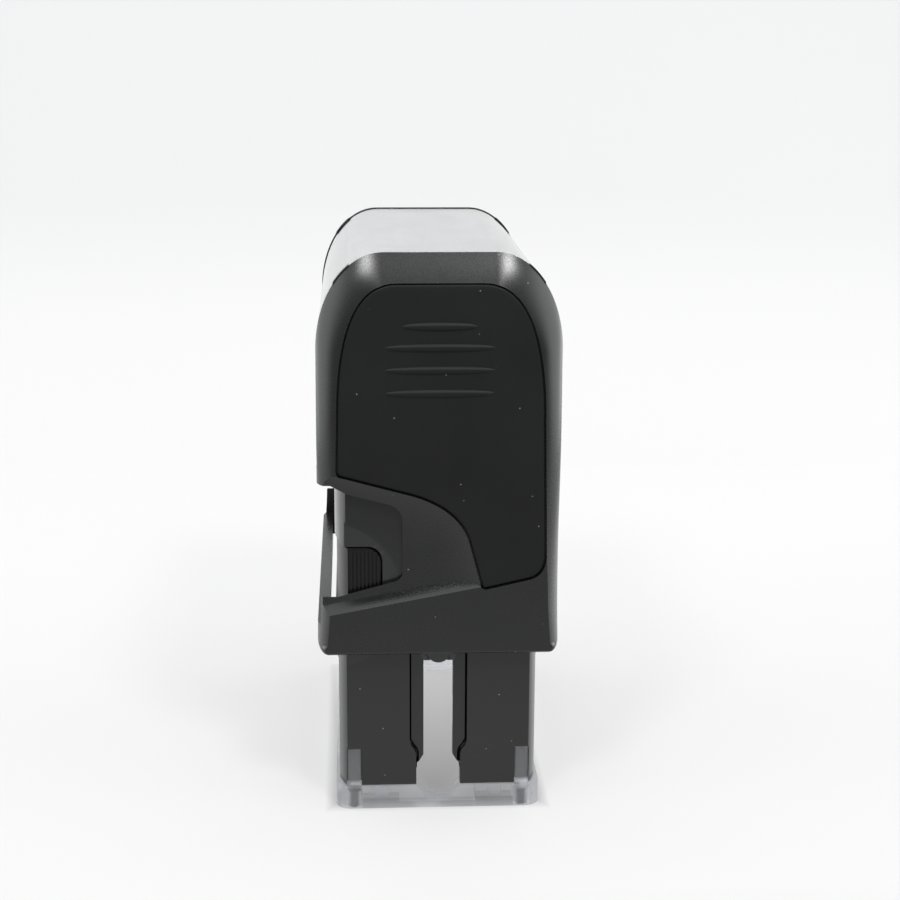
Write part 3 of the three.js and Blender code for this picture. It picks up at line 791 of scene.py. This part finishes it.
def grip_rib(height, half):
    """A low ridge that thins out to both ends."""
    rows, around = 24, 10
    middle = PANEL_HIGH.x - 0.12
    sections = []
    for i in range(rows + 1):
        s = -1 + 2 * i / rows
        girth = math.sqrt(max(1 - s * s, 0)) ** 0.8 * 0.97 + 0.03
        angles = [2 * math.pi * j / around for j in range(around)]
        out, up = 0.44 * girth, 0.6 * girth
        sections.append([(middle + out * math.cos(a), s * half, height + up * math.sin(a)) for a in angles])
    return loft("rib", sections)


for side_name in ("right", "left"):
    panel = side_panel(f"side_panel_{side_name}_look")
    carve(panel, [grip_rib(height, half) for height, half in GRIP_RIBS], "UNION")
    if side_name == "left":
        mirror(panel)
    finish(panel, f"side_panel_{side_name}", PANEL_BLACK, limit=40)

# ---- clear window and the card under it ----
window = band("index_window_look", WINDOW_SUNK, WINDOW_T, WINDOW_HIGH.x, WINDOW_LOW.z)
carve(window, corner_tabs(0.15, 1))
finish(window, "index_window", CLEAR_WINDOW, bevel=0.15)

CARD_FACE = WINDOW_T + CARD_GAP
card = band("index_card_look", CARD_FACE, CARD_FACE + CARD_T, CARD_HIGH.x, CARD_LOW.z)
carve(card, corner_tabs(0.3, 1))
finish(card, "index_card", CARD, bevel=0.05)


# ---- main spring: round wire, closed ends ----
def main_spring():
    wire, radius = 0.55, 6.0  # half the wire's thickness, and the coil's radius
    turns, closed = 9, 1  # all turns, and the closed ones at each end
    low, high = SPRING_LOW.z + wire, SPRING_HIGH.z - wire
    lead = 2 * wire + 0.1
    steps, around = turns * 40, 12
    path = []
    for k in range(steps + 1):
        turn = k * turns / steps
        if turn < closed:
            z = low + lead * turn / closed
        elif turn > turns - closed:
            z = high - lead * (turns - turn) / closed
        else:
            z = low + lead + (turn - closed) / (turns - 2 * closed) * (high - low - 2 * lead)
        angle = 2 * math.pi * turn
        path.append(Vector((radius * math.cos(angle), radius * math.sin(angle), z)))
    sections = []
    for k, point in enumerate(path):
        along = (path[min(k + 1, steps)] - path[max(k - 1, 0)]).normalized()
        out = Vector((point.x, point.y, 0)).normalized()
        across = along.cross(out)
        angles = [2 * math.pi * j / around for j in range(around)]
        sections.append([point + wire * (math.cos(a) * out + math.sin(a) * across) for a in angles])
    return loft("main_spring_look", sections)


spring = finish(main_spring(), "main_spring", STEEL, limit=60)
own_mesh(spring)

# ---- pieces whose CAD shape is right: edges rounded, faces made whole ----
ARM_TRACK = [(3.45, 6.9), (3.45, 9), (3.65, 9.7), (4.25, 10.5), (4.48, 11.3), (4.48, 46)]  # (y, z)
ARM_TRACK_NECK = 11  # the grooves are wider below this height


def track_groove(name, side):
    """A narrow V groove in the frame's end wall, along one edge of the arm's track."""
    top, lip, root = FRAME_END + 1, FRAME_END - 0.8, FRAME_END - 1.45
    sections = []
    for y, z in ARM_TRACK:
        width = 0.46 if z < ARM_TRACK_NECK else 0.28
        near, far = y + 0.04, y - width
        section = [(top, near), (lip, near), (root, y - width / 2), (lip, far), (top, far)]
        sections.append([(x, side * across, z) for x, across in section])
    return loft(name, sections)


base = copy_of("base_frame", flat=0)
for side in (-1, 1):
    carve(base, both_ends(lambda name: track_groove(name, side)))
finish(mend(base), "base_frame", FRAME_BLACK_PAINTED_DISH, bevel=0.15)
finish(copy_of("clear_foot"), "clear_foot", CLEAR_FOOT, bevel=0.12)
for k in range(1, 5):
    finish(copy_of(f"foot_pad_{k}"), f"foot_pad_{k}", FOOT_RUBBER, bevel=0.15)
finish(copy_of("carrier_bow"), "carrier_bow", CARRIER_GREY, bevel=0.12)
finish(copy_of("lock_button"), "lock_button", BUTTON_GREY, bevel=0.2)
finish(copy_of("die_holder"), "die_holder", CARRIER_GREY, bevel=0.12)
finish(copy_of("die_foam"), "die_foam", FOAM, bevel=0.05)
finish(copy_of("rubber_die"), "rubber_die", STAMP_RUBBER, bevel=0.06)
finish(copy_of("ink_tray"), "ink_tray", TRAY_BLACK, limit=25)
finish(copy_of("ink_pad"), "ink_pad", FELT, bevel=0.3)


# ---- stage: a pale sweep ----
FLOOR_WHITE = (0.234, 0.234, 0.232)
WALL_WHITE = (0.206, 0.2085, 0.2125)
STAGE_GLOW = 2.2  # the sweep gives off light of its own, so shadows on it stay faint
FLOOR_GAP = 0.03  # the floor lies this far under the foot


def sweep_white():
    """The sweep's pale paper. Its floor has painted shade towards the camera's end, and a painted shadow
    right under the stamp.

    Lengths are in metres here.
    """
    m = Nodes("sweep_white")
    mottle = m.noise(3, detail=2)
    place = m.add("ShaderNodeSeparateXYZ")
    m.feed(m.coordinates, place.inputs[0])
    x, y, z = place.outputs["X"], place.outputs["Y"], place.outputs["Z"]
    paper = m.mix(m.ramp(z, 0, 0.3, 0, 1), FLOOR_WHITE, WALL_WHITE)
    toned = m.mix(m.between(mottle), grey(0.98), grey(1))
    # painted shade: the floor darkens towards the camera's end
    painted_front_shade = m.times(m.ramp(x, -0.18, 0.06, 1, 0.9), m.ramp(x, 0.06, 0.2, 1, 0.55))
    # painted shadow: inside the stamp's footprint the floor is darker, most at the end nearest the camera
    along = m.maths("MULTIPLY", m.maths("ABSOLUTE", x), 1 / (CAP_END * MM))
    across = m.maths("MULTIPLY", m.maths("ABSOLUTE", y), 1 / (SIDE_FOOT * MM))
    outside = m.ramp(m.maths("MAXIMUM", along, across), 0.7, 0.96, 0, 1)
    shade = m.ramp(x, -CAP_END * MM, CAP_END * MM, 0.92, 0.42)
    under = m.maths("MAXIMUM", shade, outside)
    tone = m.times(m.times(paper, toned), m.times(painted_front_shade, under))
    m.to(tone, "Base Color")
    # the glow carries the same painted shade and painted shadow
    m.to(tone, "Emission Color")
    m.to(m.between(mottle, 0.65, 0.75), "Roughness")
    m.set(Emission_Strength=STAGE_GLOW)
    return m.material


def sweep():
    """A floor that turns up into a wall past the stamp's far end."""
    back, bend, side, front, rise = -250, 70, 240, 255, 600
    profile = [(front, 0), (back + bend, 0)]
    for a in np.radians(range(10, 91, 10)):
        profile.append((back + bend - bend * math.sin(a), bend - bend * math.cos(a)))
    profile.append((back, rise))
    verts = [(x, y, z - FLOOR_GAP) for x, z in profile for y in (-side, side)]
    faces = [(2 * k, 2 * k + 1, 2 * k + 3, 2 * k + 2) for k in range(len(profile) - 1)]
    made = new_object("sweep", verts, faces)
    made.data.transform(Matrix.Scale(MM, 4))
    made.data.shade_smooth()
    made.data.materials.append(sweep_white())


sweep()

# ---- light and camera ----
ROUND_ABOUT, LEFT, RIGHT, OVERHEAD, FRONT = 0.85, 3.4, 3.9, 2.3, 0.35  # the tent's brightness
BEHIND = 0.9  # how bright it looks past the sweep's edge


def studio_world():
    """A tent of light: bright at both sides and overhead, and dim low down at the camera's end.

    Its walls start and end at the given parts of a direction, along X, Y or Z. Seen directly, past the
    sweep's edge, it looks the same all over.
    """
    world = bpy.data.worlds.new("studio")
    world.use_nodes = True
    w = Tree(world.node_tree)
    parts = w.add("ShaderNodeSeparateXYZ")
    w.feed(w.add("ShaderNodeTexCoord").outputs["Generated"], parts.inputs[0])
    x, y, z = parts.outputs["X"], parts.outputs["Y"], parts.outputs["Z"]

    def smooth(source, start, end):
        return w.ramp(source, start, end, 0, 1, "SMOOTHSTEP")

    low = smooth(z, 0.85, 0.5)
    walls = [
        (w.maths("MULTIPLY", smooth(y, -0.5, -0.85), low), LEFT),
        (w.maths("MULTIPLY", smooth(y, 0.5, 0.85), low), RIGHT),
        (smooth(z, 0.86, 0.97), OVERHEAD),
        (w.maths("MULTIPLY", smooth(x, 0.35, 0.8), smooth(z, 0.75, 0.35)), FRONT),
    ]
    level = ROUND_ABOUT
    for share, brightness in walls:
        level = w.maths("ADD", level, w.maths("MULTIPLY", share, brightness - ROUND_ABOUT))
    seen = w.add("ShaderNodeLightPath").outputs["Is Camera Ray"]
    level = w.maths("ADD", level, w.maths("MULTIPLY", seen, w.maths("SUBTRACT", BEHIND, level)))
    background = w.tree.nodes["Background"]
    background.inputs["Color"].default_value = (0.975, 0.99, 1.0, 1)
    w.feed(level, background.inputs["Strength"])
    bpy.context.scene.world = world


studio_world()
bpy.context.scene.view_settings.view_transform = "Standard"


def area_light(name, place, target, size, power):
    light = bpy.data.lights.new(name, "AREA")
    light.shape = "RECTANGLE"
    light.size, light.size_y = size[0] * MM, size[1] * MM
    light.energy = power
    made = bpy.data.objects.new(name, light)
    made.location = Vector(place) * MM
    made.rotation_euler = (Vector(target) - Vector(place)).to_track_quat("-Z", "Y").to_euler()
    bpy.context.scene.collection.objects.link(made)


area_light("lamp_left", (400, -204, 517), (30, -8, 85), (110, 140), 1.85)
area_light("lamp_right", (400, 204, 517), (30, 8, 85), (110, 140), 2.3)

# The camera stands off the right end, a little towards the front, looking down.
CAMERA_AT = Vector((288.9, -12.75, 121.4))
CAMERA_YAW, CAMERA_PITCH, CAMERA_ROLL = math.radians(3.207), math.radians(13.74), math.radians(0.255)
camera = bpy.data.objects.new("camera", bpy.data.cameras.new("camera"))
camera.data.sensor_width = 36
camera.data.lens = 70
camera.data.clip_start, camera.data.clip_end = 0.01, 5
forward = Vector((
    -math.cos(CAMERA_YAW) * math.cos(CAMERA_PITCH),
    math.sin(CAMERA_YAW) * math.cos(CAMERA_PITCH),
    -math.sin(CAMERA_PITCH),
))
across = forward.cross(Vector((0, 0, 1))).normalized()
lift = across.cross(forward)
right = math.cos(CAMERA_ROLL) * across + math.sin(CAMERA_ROLL) * lift
up = math.cos(CAMERA_ROLL) * lift - math.sin(CAMERA_ROLL) * across
turn = Matrix((right, up, -forward)).transposed()
camera.matrix_world = Matrix.Translation(CAMERA_AT * MM) @ turn.to_4x4()
bpy.context.scene.collection.objects.link(camera)
bpy.context.scene.camera = camera
